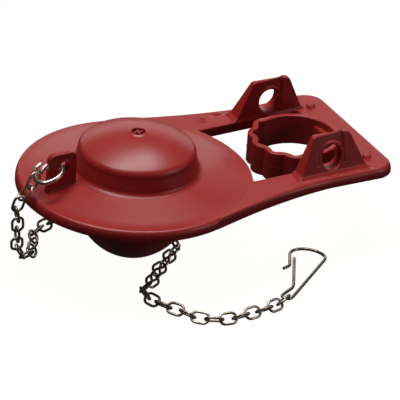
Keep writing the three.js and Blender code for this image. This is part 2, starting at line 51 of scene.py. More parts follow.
# Disc, dome and bulb. RIM_SOFT is how far the rim's soft top edge reaches in and down, and angles in
# degrees are the brim's slope and the place of the bleed hole's edge on the bulb
DISC = 40.4
RIM = 3.8
RIM_ROUND = 1.0
RIM_SOFT = (1.5, 2.8)
SEAL_ROUND = 0.4
BRIM_INNER = 22.8
BRIM_RISE = 3.3
BRIM_EASE = 5.0
BRIM_SLOPE = 14
DOME_X = 0.7
DOME = 21.3
DOME_TOP = 20.8
DOME_SIDE = 20.4
SHOULDER = 3.0
CROWN = 39.5
FOOT = 2.0
BULB = 21.6
BULB_DEPTH = 26.0
BULB_FOOT = 23.0
WALL = 2.2
CHAMBER_CORNER = 3.0
BLEED_EDGE = -85.5
GATE = 2.4
GATE_SLOPE = 1.0
GATE_LIP = 0.25
GATE_DEPTH = 1.1
GATE_STUB = 1.7
STUB_LOBES = 4
STUB_TURN = 0.6
STUB_MEAN = 0.66
STUB_SWING = 0.34

# Hinge frame. PLATE_MEET is the band of radius where its top comes up to the brim's, and a groove's ends
# and half width are each a stretch that it fades over
FRAME_LOW = 0.1
FRAME_SHARP = 0.45
FRAME_UNDER = 0.4
FRAME_CHAMFER = 0.3
PLATE_SINK = 0.06
PLATE_MEET = (37.2, 38.4)
NECK = np.radians(73)
NECK_LEAD = 17.0
WAIST = (62.0, 28.6)
WAIST_FLARE = 0.8
REAR = (88.1, 29.1)
REAR_CORNER = 7.0
WINDOW_FRONT = 41.0
WINDOW_HALF = 19.4
WINDOW_REAR = 75.2
WINDOW_CORNER = 1.5
GROOVE_Y = 27.1
GROOVE_DEPTH = 0.4
GROOVE_FRONT = (46.5, 48.5)
GROOVE_REAR = (78.5, 80.0)
GROOVE_HALF = (0.15, 0.6)
LEAF = (48.2, 0.9)
LEAF_SPREAD = (1.5, 0.7)
HEEL_RIB = (80.9, 19.4)
HEEL_RIB_HALF = 1.5
HEEL_RIB_THICK = 2.6
HEEL_RIB_SINK = 0.2
CAVITY_MARK = (41.2, 25.6)
CAVITY_RING = 1.5
CAVITY_DOT_HALF = 0.5
CAVITY_SINK = 0.02

# Collar
COLLAR_X = 63.8
BORE = 13.5
COLLAR_WALL = 1.8
COLLAR_LOW = -4.7
COLLAR_TOP = 6.3
FLUTE = 1.3
FLUTE_HALF_SPAN = np.radians(75)
COLLAR_EDGE = 0.35
PARTING_HEIGHT = 0.12
PARTING_HALF = 0.1

# Ears: X at the foot and at the top, and thickness there. A fillet is its height, then its reach on the
# inner face and on the outer face
EAR_INNER = 19.8
EAR_FOOT = (51.6, 77.6)
EAR_HEAD = (57.6, 71.6)
EAR_THICK = (5.6, 1.9)
EAR_TOP = 17.5
EAR_CORNER = (1.5, 3.0)
EAR_EDGE = 0.35
EAR_BURIED = 1.6
EAR_FLARE = 0.9
EAR_FLARE_TOP = 1.1
EAR_FILLET = (1.2, 0.3, 0.7)
EAR_FLANGE = 1.5
POCKET = 0.8
POCKET_LOW = 7.0
POCKET_REAR = 69.3
POCKET_START = 6.0
POCKET_EDGE = 0.35
PEG = (64.2, 9.4)
PEG_SIZE = (7.6, 8.6)
PEG_LIP = 0.3
HUB_WALL = 1.0

# Tab, with its fillet's reach and height
TAB_OUTER = -34.2
TAB_INNER = -23.3
TAB_TOP = 19.0
TAB_LOW = 2.6
TAB_CORNER = 3.2
TAB_HALF = 1.15
TAB_EDGE = 0.5
TAB_FILLET = (0.5, 0.9)
TAB_HOLE = (-28.5, 13.9)
TAB_HOLE_RADIUS = 1.9
TAB_LIP = 0.25
BOSS = 0.7
BOSS_RISE = 0.35

# Split ring: angles from the tab in degrees, and the wire's distance from the middle there
RING_WIRE = 1.6
RING_TURNS = np.array(
    [
        (-272, 5.8),
        (-243, 5.4),
        (-203, 5.1),
        (-171, 5.7),
        (-150, 6.2),
        (-134, 6.3),
        (-115, 5.9),
        (-87, 5.1),
        (-54, 4.8),
        (-17, 4.75),
        (17, 4.7),
        (40, 4.3),
        (77, 3.5),
        (117, 2.7),
        (150, 2.7),
    ]
)

# Chain and clip
LINK_WIRE = 0.95
LINK_LENGTH = 7.1
LINK_WIDTH = 4.8
CLIP_WIRE = 1.1
CLIP_EYE = 1.75
CLIP_LENGTH = 33.3
CLIP_HOOK = 3.2
CLIP_HEADING = np.radians(35)
CLIP_CLEAR = 0.05
FLOOR = -26.0

# Stage, in metres: the floor's half width, the point that the lights face, and each light's name,
# place, width, height and power in watts
FLOOR_HALF = 3.0
LIT_POINT = (0.02, 0, 0)
LIGHTS = (
    ("overhead", (-0.01, 0.13, 0.85), 0.85, 0.32, 7.7),
    ("strip", (-0.4, -0.1, 0.72), 0.5, 0.12, 0.3),
    ("rear", (0.34, 0.58, 0.17), 0.8, 0.24, 0.75),
    ("right", (0.6, -0.65, 0.25), 0.3, 0.2, 0.75),
)
CAMERA_PLACE = (-2.10388, -3.47976, 2.23563)
CAMERA_RIGHT = np.array([0.8693, -0.4899, 0.0658])
CAMERA_UP = np.array([0.1873, 0.4494, 0.8735])


def eased(low, high, value):
    """0 below low, 1 above high, and the smooth cubic 3t^2 - 2t^3 in between."""
    t = np.clip((value - low) / (high - low), 0, 1)
    return t * t * (3 - 2 * t)


def arc(centre, radius, start, end, count):
    """Points on a circle's arc, from one angle to another in degrees, as rows of two numbers."""
    angle = np.radians(np.linspace(start, end, count))
    return np.stack([centre[0] + radius * np.cos(angle), centre[1] + radius * np.sin(angle)], 1)


def line(start, end, count):
    """Points evenly spaced from start to end, as rows of numbers."""
    return np.linspace(start, end, count)


def bezier(controls, count):
    """Points on a Bezier curve: a share t of the way from each control to the next, again and again until
    one point is left for each t."""
    t = np.linspace(0, 1, count)[:, None]
    rows = [np.broadcast_to(np.array(c, float), (count, len(c))) for c in controls]
    while len(rows) > 1:
        rows = [a * (1 - t) + b * t for a, b in zip(rows, rows[1:])]
    return rows[0]


def through(points, count):
    """A Catmull-Rom curve through points: between two of them, the cubic whose slope at each is half the
    way from the point before to the point after. count points for each stretch."""
    points = np.array(points, float)
    ends = np.concatenate([[2 * points[0] - points[1]], points, [2 * points[-1] - points[-2]]])
    t = np.linspace(0, 1, count, endpoint=False)[None, :, None]
    a, b, c, d = (ends[k : len(ends) - 3 + k, None] for k in range(4))
    curve = b + t * (c - a) / 2 + t**2 * (a - 2.5 * b + 2 * c - d / 2) + t**3 * (1.5 * (b - c) + (d - a) / 2)
    return np.concatenate([curve.reshape(-1, points.shape[1]), points[-1:]])


def joined(*runs):
    """Runs of points end to end, with the points that repeat left out."""
    points = np.concatenate(runs)
    step = np.linalg.norm(np.diff(points, axis=0), axis=1)
    return points[np.concatenate([[True], step > 1e-5])]


def shell(grid, wrap_rows=False, wrap_columns=False):
    """Vertices of a (rows, columns, 3) grid, and the quads between its neighbours."""
    rows, columns = grid.shape[:2]
    i = np.arange(rows if wrap_rows else rows - 1)[:, None]
    j = np.arange(columns if wrap_columns else columns - 1)[None, :]
    i2, j2 = (i + 1) % rows, (j + 1) % columns
    quads = np.stack([i * columns + j, i2 * columns + j, i2 * columns + j2, i * columns + j2], -1)
    return grid.reshape(-1, 3), quads.reshape(-1, 4)


def signed_volume(points, quads):
    """Sum of the tetrahedra from the origin to each half quad: positive where faces point outwards."""
    a, b, c, d = (points[quads[:, k]] for k in range(4))
    return (np.einsum("ij,ij->", a, np.cross(b, c)) + np.einsum("ij,ij->", a, np.cross(c, d))) / 6


def piece(name, shells, material, body, nodes, crease=40):
    """One object from closed shells in millimetres. Each shell is turned to face outwards, seams and
    poles are merged, and edges sharper than crease degrees stay sharp."""
    points, faces, start = [], [], 0
    for vertices, quads in shells:
        if signed_volume(vertices - vertices.mean(0), quads) < 0:
            quads = quads[:, ::-1]
        points.append(vertices)
        faces.append(quads + start)
        start += len(vertices)
    mesh = bpy.data.meshes.new(name)
    mesh.from_pydata(np.concatenate(points) * 0.001, [], np.concatenate(faces).tolist())
    work = bmesh.new()
    work.from_mesh(mesh)
    bmesh.ops.remove_doubles(work, verts=work.verts, dist=1e-7)
    bmesh.ops.dissolve_degenerate(work, edges=work.edges, dist=1e-8)
    work.to_mesh(mesh)
    work.free()
    mesh.shade_smooth()
    mesh.set_sharp_from_angle(angle=np.radians(crease))
    mesh.materials.append(material)
    thing = bpy.data.objects.new(name, mesh)
    bpy.context.scene.collection.objects.link(thing)
    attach(thing, body)
    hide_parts(*nodes)


def turned(profile, steps, radius, shift):
    """A profile of radius and height carried round +Z. radius(r, z, angle) may change the radius, and
    shift holds how far along +X each of the profile's circles is centred."""
    angle = np.linspace(0, 2 * np.pi, steps, endpoint=False)[None, :]
    z = np.broadcast_to(profile[:, 1:], (len(profile), steps))
    r = radius(profile[:, :1], z, angle)
    return shell(np.stack([shift[:, None] + r * np.cos(angle), r * np.sin(angle), z], -1), wrap_columns=True)


def wire(path, diameter, sides, closed):
    """A round wire along a flat path in X and Y: a circle square to the path at every point. An open
    wire's ends are domed, with the circle's radius falling to nothing over a fifth of the diameter."""
    radius = np.full(len(path), diameter / 2)
    if closed:
        along = np.roll(path, -1, 0) - np.roll(path, 1, 0)
    else:
        tuck = np.sin(np.radians([0, 35, 65, 90]))
        back = (1 - np.sqrt(1 - tuck**2))[:, None] * diameter / 5
        first = (path[1] - path[0]) / np.linalg.norm(path[1] - path[0])
        last = (path[-2] - path[-1]) / np.linalg.norm(path[-2] - path[-1])
        head, tail = path[0] + first * back, path[-1] + last * back
        inner = path[1:-1]
        path = np.concatenate([head, inner, tail[::-1]])
        radius = np.concatenate([tuck, np.ones(len(inner)), tuck[::-1]]) * diameter / 2
        along = np.gradient(path, axis=0)
    along = along / np.linalg.norm(along, axis=1, keepdims=True)
    out = np.stack([along[:, 1], -along[:, 0]], 1)
    angle = np.linspace(0, 2 * np.pi, sides, endpoint=False)
    flat = path[:, None, :] + out[:, None, :] * (radius[:, None] * np.cos(angle))[..., None]
    level = radius[:, None] * np.sin(angle)
    return shell(np.concatenate([flat, level[..., None]], -1), wrap_rows=closed, wrap_columns=True)


def moved(shape, matrix, place):
    """A shell turned by a matrix whose rows are its X, Y and Z, and set down at a place."""
    points, quads = shape
    return points @ np.array(matrix, float) + np.array(place, float), quads


# Finishes


def colour(code):
    """A linear colour from an sRGB hex code."""
    value = np.array([int(code[i : i + 2], 16) for i in (1, 3, 5)]) / 255
    linear = np.where(value <= 0.04045, value / 12.92, ((value + 0.055) / 1.055) ** 2.4)
    return (*linear, 1.0)


def put(tree, kind, settings=None, links=None):
    """Adds a node, with its properties and inputs set and its inputs linked to other outputs."""
    made = tree.nodes.new(kind)
    for key, value in (settings or {}).items():
        if isinstance(key, int) or key in made.inputs:
            made.inputs[key].default_value = value
        else:
            setattr(made, key, value)
    for key, source in (links or {}).items():
        tree.links.new(source, made.inputs[key])
    return made


def new_material(name):
    """A material with nodes, its node tree, and the shader that comes with it."""
    material = bpy.data.materials.new(name)
    material.use_nodes = True
    tree = material.node_tree
    return material, tree, tree.nodes["Principled BSDF"]


def moulded_rubber():
    """Compression-moulded red rubber: a satin skin, even in colour but for a faint cloudiness about 14 mm
    across, whose broad soft reflections turn its lit faces pinkish. Its mould grain is drawn at 0.4 mm,
    coarser than the real one, so that it shows. Its sharp edges shade as if rounded by 0.4 mm."""
    material, tree, skin = new_material("moulded_red_rubber")
    place = put(tree, "ShaderNodeTexCoord").outputs["Object"]
    cloud = put(tree, "ShaderNodeTexNoise", {"Scale": 70.0, "Detail": 3.0}, {"Vector": place})
    tone = put(
        tree,
        "ShaderNodeMix",
        {"data_type": "RGBA", 6: colour("#9B221F"), 7: colour("#A42825")},
        {0: cloud.outputs["Fac"]},
    )
    tree.links.new(tone.outputs[2], skin.inputs["Base Color"])
    gloss = put(
        tree,
        "ShaderNodeMapRange",
        {"From Min": 0.3, "From Max": 0.7, "To Min": 0.34, "To Max": 0.4},
        {"Value": cloud.outputs["Fac"]},
    )
    tree.links.new(gloss.outputs["Result"], skin.inputs["Roughness"])
    grain = put(tree, "ShaderNodeTexNoise", {"Scale": 2600.0, "Detail": 2.0}, {"Vector": place})
    edges = put(tree, "ShaderNodeBevel", {"samples": 6, "Radius": 0.0004})
    bump = put(
        tree,
        "ShaderNodeBump",
        {"Strength": 0.06, "Distance": 0.0001},
        {"Height": grain.outputs["Fac"], "Normal": edges.outputs["Normal"]},
    )
    tree.links.new(bump.outputs["Normal"], skin.inputs["Normal"])
    return material


def nickel(name, bright, dull, smoothest, roughest):
    """Nickel-plated steel wire: a metal whose plate is brighter or duller in patches about 2 mm across.
    Its drawing scratches are drawn at 0.3 mm, coarser than the real ones, so that they show."""
    material, tree, skin = new_material(name)
    place = put(tree, "ShaderNodeTexCoord").outputs["Object"]
    patches = put(tree, "ShaderNodeTexNoise", {"Scale": 450.0, "Detail": 4.0}, {"Vector": place})
    ramp = put(
        tree,
        "ShaderNodeMapRange",
        {"From Min": 0.35, "From Max": 0.65},
        {"Value": patches.outputs["Fac"]},
    )
    tone = put(
        tree,
        "ShaderNodeMix",
        {"data_type": "RGBA", 6: colour(bright), 7: colour(dull)},
        {0: ramp.outputs["Result"]},
    )
    tree.links.new(tone.outputs[2], skin.inputs["Base Color"])
    gloss = put(
        tree,
        "ShaderNodeMapRange",
        {"From Min": 0.3, "From Max": 0.7, "To Min": smoothest, "To Max": roughest},
        {"Value": patches.outputs["Fac"]},
    )
    tree.links.new(gloss.outputs["Result"], skin.inputs["Roughness"])
    scratch = put(tree, "ShaderNodeTexNoise", {"Scale": 3500.0, "Detail": 2.0}, {"Vector": place})
    bump = put(
        tree,
        "ShaderNodeBump",
        {"Strength": 0.03, "Distance": 0.00002},
        {"Height": scratch.outputs["Fac"]},
    )
    tree.links.new(bump.outputs["Normal"], skin.inputs["Normal"])
    skin.inputs["Metallic"].default_value = 1.0
    return material


rubber = moulded_rubber()
ring_nickel = nickel("bright_nickel_ring", "#E6E1D6", "#BDB5A8", 0.18, 0.32)
chain_nickel = nickel("dull_nickel_chain", "#D6CABA", "#A3978A", 0.3, 0.42)

# The rubber moulding


def brim_height(r):
    """Height of the brim at radius r: level at the rim, then a parabola over BRIM_EASE that turns into
    a straight cone up to the dome's foot."""
    t = np.maximum(DISC - RIM_ROUND - r, 0)
    full = DISC - RIM_ROUND - BRIM_INNER - BRIM_EASE / 2
    lift = np.where(t < BRIM_EASE, t * t / (2 * BRIM_EASE), t - BRIM_EASE / 2)
    return RIM + BRIM_RISE * lift / full


def valve_profile():
    """Radius and height from the top of the air chamber, down its wall and out of the bleed hole, up
    the bulb, round the disc's rim, up the brim and over the dome to the gate mark and its torn stub.
    The chamber and the bulb are parts of ellipses, and so is the rim's soft top edge. The dome's crown
    is part of a sphere that the shoulder's arc meets on a tangent."""
    ellipse = np.radians(np.linspace(0, BLEED_EDGE, 26))
    chamber = np.stack([(BULB - WALL) * np.cos(ellipse), (BULB_DEPTH - WALL) * np.sin(ellipse)], 1)
    bulb = np.radians(np.linspace(BLEED_EDGE, -9, 44))
    outer = np.stack([BULB * np.cos(bulb), BULB_DEPTH * np.sin(bulb)], 1)
    side = DOME_SIDE - WALL
    brim = np.linspace(DISC - RIM_SOFT[0], BRIM_INNER - 0.2, 40)
    centre = DOME_SIDE - SHOULDER
    lean = np.arcsin(centre / (CROWN - SHOULDER))
    level = DOME_TOP - CROWN + (CROWN - SHOULDER) * np.cos(lean)
    crown_end = 90 - np.degrees(np.arcsin((GATE + GATE_SLOPE + 0.2) / CROWN))
    lip = DOME_TOP + GATE_LIP
    floor = DOME_TOP - GATE_DEPTH
    chamber_top = level + SHOULDER - WALL
    return joined(
        np.array([[0, chamber_top]]),
        arc((side - CHAMBER_CORNER, chamber_top - CHAMBER_CORNER), CHAMBER_CORNER, 90, 0, 8),
        np.array([[side, RIM]]),
        chamber,
        outer,
        bezier([outer[-1], (BULB + 0.3, -1.2), (BULB + 0.5, 0), (BULB_FOOT + 0.4, 0)], 10),
        line((BULB_FOOT + 1, 0), (DISC - SEAL_ROUND, 0), 24),
        arc((DISC - SEAL_ROUND, SEAL_ROUND), SEAL_ROUND, -90, 0, 5),
        (DISC - RIM_SOFT[0], RIM - RIM_SOFT[1]) + arc((0, 0), 1, 0, 84, 14) * RIM_SOFT,
        np.stack([brim, brim_height(brim)], 1),
        arc((DOME + FOOT, RIM + BRIM_RISE + FOOT), FOOT, 270 - BRIM_SLOPE, 180, 12),
        line((DOME - 0.04, 9.3), (DOME_SIDE + 0.02, level - 0.2), 6),
        arc((centre, level), SHOULDER, 3, 90 - np.degrees(lean), 28),
        arc((0, DOME_TOP - CROWN), CROWN, 90 - np.degrees(lean), crown_end, 22),
        bezier([(GATE + 1.1, DOME_TOP - 0.14), (GATE + 0.5, lip), (GATE + 0.3, lip), (GATE, lip - 0.15)], 8),
        line((GATE - 0.05, lip - 0.3), (GATE - 0.15, floor), 4),
        line((GATE - 0.3, floor), (GATE_STUB + 0.05, floor), 4),
        line((GATE_STUB, floor + 0.1), (GATE_STUB - 0.1, lip - 0.35), 6),
        line((GATE_STUB - 0.35, lip - 0.2), (0, lip - 0.3), 6),
    )


def valve_shift(profile):
    """The dome, the bulb and the air chamber are centred DOME_X towards the hinge. The shift fades out
    across the brim above and the sealing face below."""
    return DOME_X * (1 - eased(BRIM_INNER + 1, DISC - 3, profile[:, 0]))


def gate_stub(r, z, angle):
    """The radius as it is, but for the gate's torn stub, whose radius swells and shrinks with a cosine,
    STUB_LOBES times a turn."""
    inside = (r < GATE_STUB + 0.02) & (z > DOME_TOP - GATE_DEPTH - 0.05)
    lobed = r * (STUB_MEAN + STUB_SWING * np.cos(STUB_LOBES * angle + STUB_TURN))
    return np.where(inside, lobed, r + 0 * angle)


def plate_loops(count=26):
    """Matched points on the window's outline and on the frame's outline, from the near side of the
    neck round the rear to the far side, then back inside the disc along the window's front."""
    neck = DISC * np.array([np.cos(NECK), -np.sin(NECK)])
    leave = neck + NECK_LEAD * np.array([np.sin(NECK), np.cos(NECK)])
    rear_centre = (REAR[0] - REAR_CORNER, -(REAR[1] - REAR_CORNER))
    ease = 2
    front = np.degrees(np.arcsin(WINDOW_HALF / WINDOW_FRONT)) - ease
    corner = WINDOW_FRONT * np.cos(np.radians(front + ease)) + WINDOW_CORNER
    arrive = (WAIST[0] - NECK_LEAD, -WAIST[1] - WAIST_FLARE)
    waist = (WAIST[0], -WAIST[1])
    outer = [
        bezier([neck, leave, arrive, waist], 2 * count),
        line(waist, (rear_centre[0], -REAR[1]), count),
        arc(rear_centre, REAR_CORNER, -90, 0, count),
        line((REAR[0], rear_centre[1]), (REAR[0], 0), count),
    ]
    inner = [
        line((corner, -WINDOW_HALF), (WAIST[0], -WINDOW_HALF), 2 * count),
        line((WAIST[0], -WINDOW_HALF), (WINDOW_REAR - WINDOW_CORNER, -WINDOW_HALF), count),
        bezier(
            [
                (WINDOW_REAR - WINDOW_CORNER, -WINDOW_HALF),
                (WINDOW_REAR, -WINDOW_HALF),
                (WINDOW_REAR, WINDOW_CORNER - WINDOW_HALF),
            ],
            count,
        ),
        line((WINDOW_REAR, WINDOW_CORNER - WINDOW_HALF), (WINDOW_REAR, 0), count),
    ]
    outer = np.concatenate([run[:-1] for run in outer])
    inner = np.concatenate([run[:-1] for run in inner])
    flip = np.array([1, -1])
    outer = np.concatenate([outer, [(REAR[0], 0)], outer[:0:-1] * flip])
    inner = np.concatenate([inner, [(WINDOW_REAR, 0)], inner[:0:-1] * flip])
    steps = 4 * count
    angle = np.linspace(np.degrees(NECK), -np.degrees(NECK), steps)
    overlap = 4
    buried = DISC - overlap * np.sin(np.linspace(0, np.pi, steps)) ** 0.5
    back = np.stack([buried * np.cos(np.radians(angle)), buried * np.sin(np.radians(angle))], 1)
    bend = count // 2
    tip = WINDOW_FRONT * np.array([np.cos(np.radians(front)), np.sin(np.radians(front))])
    side = np.array([corner, WINDOW_HALF])
    meet = np.array([corner - WINDOW_CORNER, WINDOW_HALF])
    round_far = bezier([side, meet, tip], bend)
    front_arc = arc((0, 0), WINDOW_FRONT, front, -front, steps - 2 * bend + 2)
    return (
        np.concatenate([inner, round_far[:-1], front_arc, round_far[-2::-1] * flip]),
        np.concatenate([outer, back]),
    )


def plate_top(x, y):
    """Height of the frame's top: level, but following the brim, a hair under it, where it runs over the
    disc, and sunk along the groove at each ear's outer foot. The far groove's front end is a deeper leaf,
    a bell curve along X times one across it."""
    r = np.hypot(x, y)
    height = brim_height(r) - PLATE_SINK * (1 - eased(*PLATE_MEET, r))
    along = eased(*GROOVE_FRONT, x) * (1 - eased(*GROOVE_REAR, x))
    groove = along * (1 - eased(*GROOVE_HALF, abs(abs(y) - GROOVE_Y)))
    leaf = LEAF[1] * np.exp(-(((x - LEAF[0]) / LEAF_SPREAD[0]) ** 2) - ((y - GROOVE_Y) / LEAF_SPREAD[1]) ** 2)
    return height - GROOVE_DEPTH * groove - leaf


def hinge_frame():
    """The plate's section carried round its two loops: a share of the way from the window's outline to
    the outer one, an inset from the nearer edge in millimetres, and a height from the top or bottom. It
    starts at the window's lower edge and runs up the window's side, over the top, down the outer side,
    whose top edge is as soft as the disc's rim, and back along the bottom."""
    inner, outer = plate_loops()
    low = arc((0, 0), 1, 180, 90, 5)
    high = arc((0, 0), 1, 90, 0, 6)
    under = arc((0, 0), 1, 0, -90, 4)
    over = np.linspace(0, 1, 28)[1:-1]
    back = np.linspace(1, 0, 10)[1:-1]
    share = np.concatenate([np.zeros(8), over, np.ones(12), back])
    inset = np.concatenate(
        [
            [FRAME_CHAMFER, 0, 0],
            (low[:, 0] + 1) * FRAME_SHARP,
            np.linspace(FRAME_SHARP, -RIM_SOFT[0], 28)[1:-1],
            (high[:, 0] - 1) * RIM_SOFT[0],
            [0, 0],
            (under[:, 0] - 1) * FRAME_UNDER,
            np.linspace(-FRAME_UNDER, FRAME_CHAMFER, 10)[1:-1],
        ]
    )
    from_top = np.concatenate([[0, 0, 0.5], np.ones(5 + 26 + 6), [0.2, 0.14], np.zeros(4 + 8)])
    rise = np.concatenate(
        [
            [0, FRAME_CHAMFER, 0],
            (low[:, 1] - 1) * FRAME_SHARP,
            np.zeros(26),
            (high[:, 1] - 1) * RIM_SOFT[1],
            [0, 0],
            (under[:, 1] + 1) * FRAME_UNDER,
            np.zeros(8),
        ]
    )
    across = outer - inner
    unit = across / np.linalg.norm(across, axis=1, keepdims=True)
    flat = inner[:, None] + across[:, None] * share[:, None] + unit[:, None] * inset[:, None]
    x, y = flat[..., 0], flat[..., 1]
    bottom = FRAME_LOW * eased(DISC, DISC + 6, np.hypot(x, y))
    z = from_top * plate_top(x, y) + (1 - from_top) * bottom + rise
    return shell(np.stack([x, y, z], -1), wrap_rows=True, wrap_columns=True)


def collar():
    """The fluted ring: its outer radius stands out by FLUTE times |cos 6a|, and its bore by FLUTE times
    |cos 6a|^3.5, over the front 150 degrees. A fine parting line, a bell curve in height, runs round
    the outside halfway up."""
    angle = np.linspace(0, 2 * np.pi, 720, endpoint=False)[:, None]
    off = angle - np.pi
    lobe = np.where(abs(off) < FLUTE_HALF_SPAN, abs(np.cos(6 * off)), 0)
    outer = BORE + COLLAR_WALL + FLUTE * lobe
    inner = BORE + FLUTE * lobe**3.5
    middle = (COLLAR_LOW + COLLAR_TOP) / 2
    edge = COLLAR_EDGE
    rows = np.concatenate(
        [
            line(COLLAR_LOW + edge, middle - 0.3, 7),
            middle + line(-0.18, 0.18, 7),
            line(middle + 0.3, COLLAR_TOP - edge, 7),
        ]
    )
    bulge = PARTING_HEIGHT * np.exp(-(((rows - middle) / PARTING_HALF) ** 2))
    turn = arc((0, 0), edge, 0, 90, 5)
    outward = np.concatenate([turn[::-1, 0] - edge, bulge, turn[:, 0] - edge])
    height = np.concatenate([COLLAR_LOW + edge - turn[::-1, 1], rows, COLLAR_TOP - edge + turn[:, 1]])
    inward = np.concatenate([edge - turn[::-1, 0], np.zeros(6), edge - turn[:, 0]])
    down = np.concatenate(
        [
            COLLAR_TOP - edge + turn[::-1, 1],
            line(COLLAR_TOP - 1, COLLAR_LOW + 1, 6),
            COLLAR_LOW + edge - turn[:, 1],
        ]
    )
    radius = np.concatenate([outer + outward, inner + inward], 1)
    z = np.broadcast_to(np.concatenate([height, down]), radius.shape)
    return shell(
        np.stack([COLLAR_X + radius * np.cos(angle), radius * np.sin(angle), z], -1),
        wrap_rows=True,
        wrap_columns=True,
    )


def outline(corners, steps=7):
    """A closed outline through (x, z, radius) corners, each corner eased by a parabola."""
    corners = np.array(corners, float)
    runs = []
    for i, (x, z, radius) in enumerate(corners):
        here = np.array([x, z])
        before = corners[i - 1, :2] - here
        after = corners[(i + 1) % len(corners), :2] - here
        before, after = before / np.linalg.norm(before), after / np.linalg.norm(after)
        reach = radius / np.tan(np.arccos(np.clip(before @ after, -1, 1)) / 2)
        if radius:
            runs.append(bezier([here + before * reach, here, here + after * reach], steps))
        else:
            runs.append(here[None])
    return np.concatenate(runs)


def obround(centre, width, height, count=48):
    """An upright slot's outline: two half circles a little apart."""
    half = (height - width) / 2
    top = arc((centre[0], centre[1] + half), width / 2, 0, 180, count // 2)
    return np.concatenate([top, arc((centre[0], centre[1] - half), width / 2, 180, 360, count // 2)])


def seen_from(loop, centre, angles):
    """Points of a closed outline at given angles about a centre, where each ray crosses its sides."""
    a, b = loop - centre, np.roll(loop, -1, 0) - centre
    ray = np.stack([np.cos(angles), np.sin(angles)], 1)
    side = b - a
    cross = ray[:, :1] * side[:, 1] - ray[:, 1:] * side[:, 0]
    cross = np.where(abs(cross) < 1e-12, 1e-12, cross)
    reach = (a[:, 0] * side[:, 1] - a[:, 1] * side[:, 0]) / cross
    along = (a[:, 0] * ray[:, 1:] - a[:, 1] * ray[:, :1]) / cross
    hit = (reach > 0) & (along > -1e-9) & (along < 1 + 1e-9)
    reach = np.where(hit, reach, -1).max(1)
    return centre + ray * reach[:, None]


def fanned(loop, centre, spread):
    """Rays from a centre to a closed outline: their angles, which take in the outline's own corners, and
    the distance to the outline along each."""
    corners = np.arctan2(loop[:, 1] - centre[1], loop[:, 0] - centre[0])
    angles = np.unique(np.concatenate([corners, np.linspace(-np.pi, np.pi, spread, endpoint=False)]).round(4))
    return angles, np.linalg.norm(seen_from(loop, centre, angles) - centre, axis=1)


def ear(side):
    """An ear in one skin. Both faces are worked out as distances from the plane Y = 0, over a fan of rays
    from the peg hole to the outline: the inner one upright, the outer one sloping, each flared in a small
    fillet at the foot. Each has a pocket that deepens towards the rear and leaves a hub round the hole."""
    low = RIM - EAR_BURIED
    rise = EAR_TOP - RIM
    front = (EAR_HEAD[0] - EAR_FOOT[0]) / rise
    rear = (EAR_HEAD[1] - EAR_FOOT[1]) / rise
    centre = np.array(PEG)
    loop = outline(
        [
            (EAR_FOOT[0] - 1.0, low, 0),
            (EAR_FOOT[1] + 1.0, low, 0),
            (EAR_FOOT[1] + EAR_FLARE, RIM + 0.05, 0.2),
            (EAR_FOOT[1] + rear * EAR_FLARE_TOP, RIM + EAR_FLARE_TOP, 0.5),
            (EAR_HEAD[1], EAR_TOP, EAR_CORNER[1]),
            (EAR_HEAD[0], EAR_TOP, EAR_CORNER[0]),
            (EAR_FOOT[0] + front * EAR_FLARE_TOP, RIM + EAR_FLARE_TOP, 0.5),
            (EAR_FOOT[0] - EAR_FLARE, RIM + 0.05, 0.2),
        ],
        9,
    )
    angles, rim = fanned(loop, centre, 320)
    hole = np.linalg.norm(seen_from(obround(PEG, *PEG_SIZE, 240), centre, angles) - centre, axis=1)
    rim, hole = rim[:, None], hole[:, None]
    edge, lip = EAR_EDGE, PEG_LIP
    bend = np.radians(np.linspace(0, 90, 5))
    reach = np.concatenate(
        [
            hole + lip * (1 - np.cos(bend)),
            hole + lip + (rim - edge - hole - lip) * np.linspace(0, 1, 64)[1:-1],
            rim - edge * (1 - np.sin(bend)),
        ],
        1,
    )
    drop = np.zeros(reach.shape)
    drop[:, :5] = lip * (1 - np.sin(bend))
    drop[:, -5:] = edge * (1 - np.cos(bend))
    x = centre[0] + reach * np.cos(angles)[:, None]
    z = centre[1] + reach * np.sin(angles)[:, None]
    from_front = (x - EAR_FOOT[0] - EAR_FLANGE - front * (z - RIM)) / np.hypot(1, front)
    inside = np.minimum(np.minimum(from_front, z - POCKET_LOW), POCKET_REAR - x)
    half = (PEG_SIZE[1] - PEG_SIZE[0]) / 2
    from_hub = np.hypot(x - PEG[0], np.maximum(abs(z - PEG[1]) - half, 0)) - PEG_SIZE[0] / 2 - HUB_WALL
    deeper = np.clip((x - EAR_FOOT[0] - POCKET_START) / (POCKET_REAR - EAR_FOOT[0] - POCKET_START), 0, 1)
    pocket = deeper * eased(0, POCKET_EDGE, np.minimum(inside, from_hub))
    fillet = (1 - np.clip((z - RIM) / EAR_FILLET[0], 0, 1)) ** 2
    slope = (EAR_THICK[1] - EAR_THICK[0]) / rise
    inner = EAR_INNER + POCKET * pocket - EAR_FILLET[1] * fillet + drop
    outer = EAR_INNER + EAR_THICK[0] + slope * (z - RIM) - POCKET * pocket + EAR_FILLET[2] * fillet - drop
    y = side * np.concatenate([inner, outer[:, ::-1]], 1)
    x, z = (np.concatenate([value, value[:, ::-1]], 1) for value in (x, z))
    return shell(np.stack([x, y, z], -1), wrap_rows=True, wrap_columns=True)


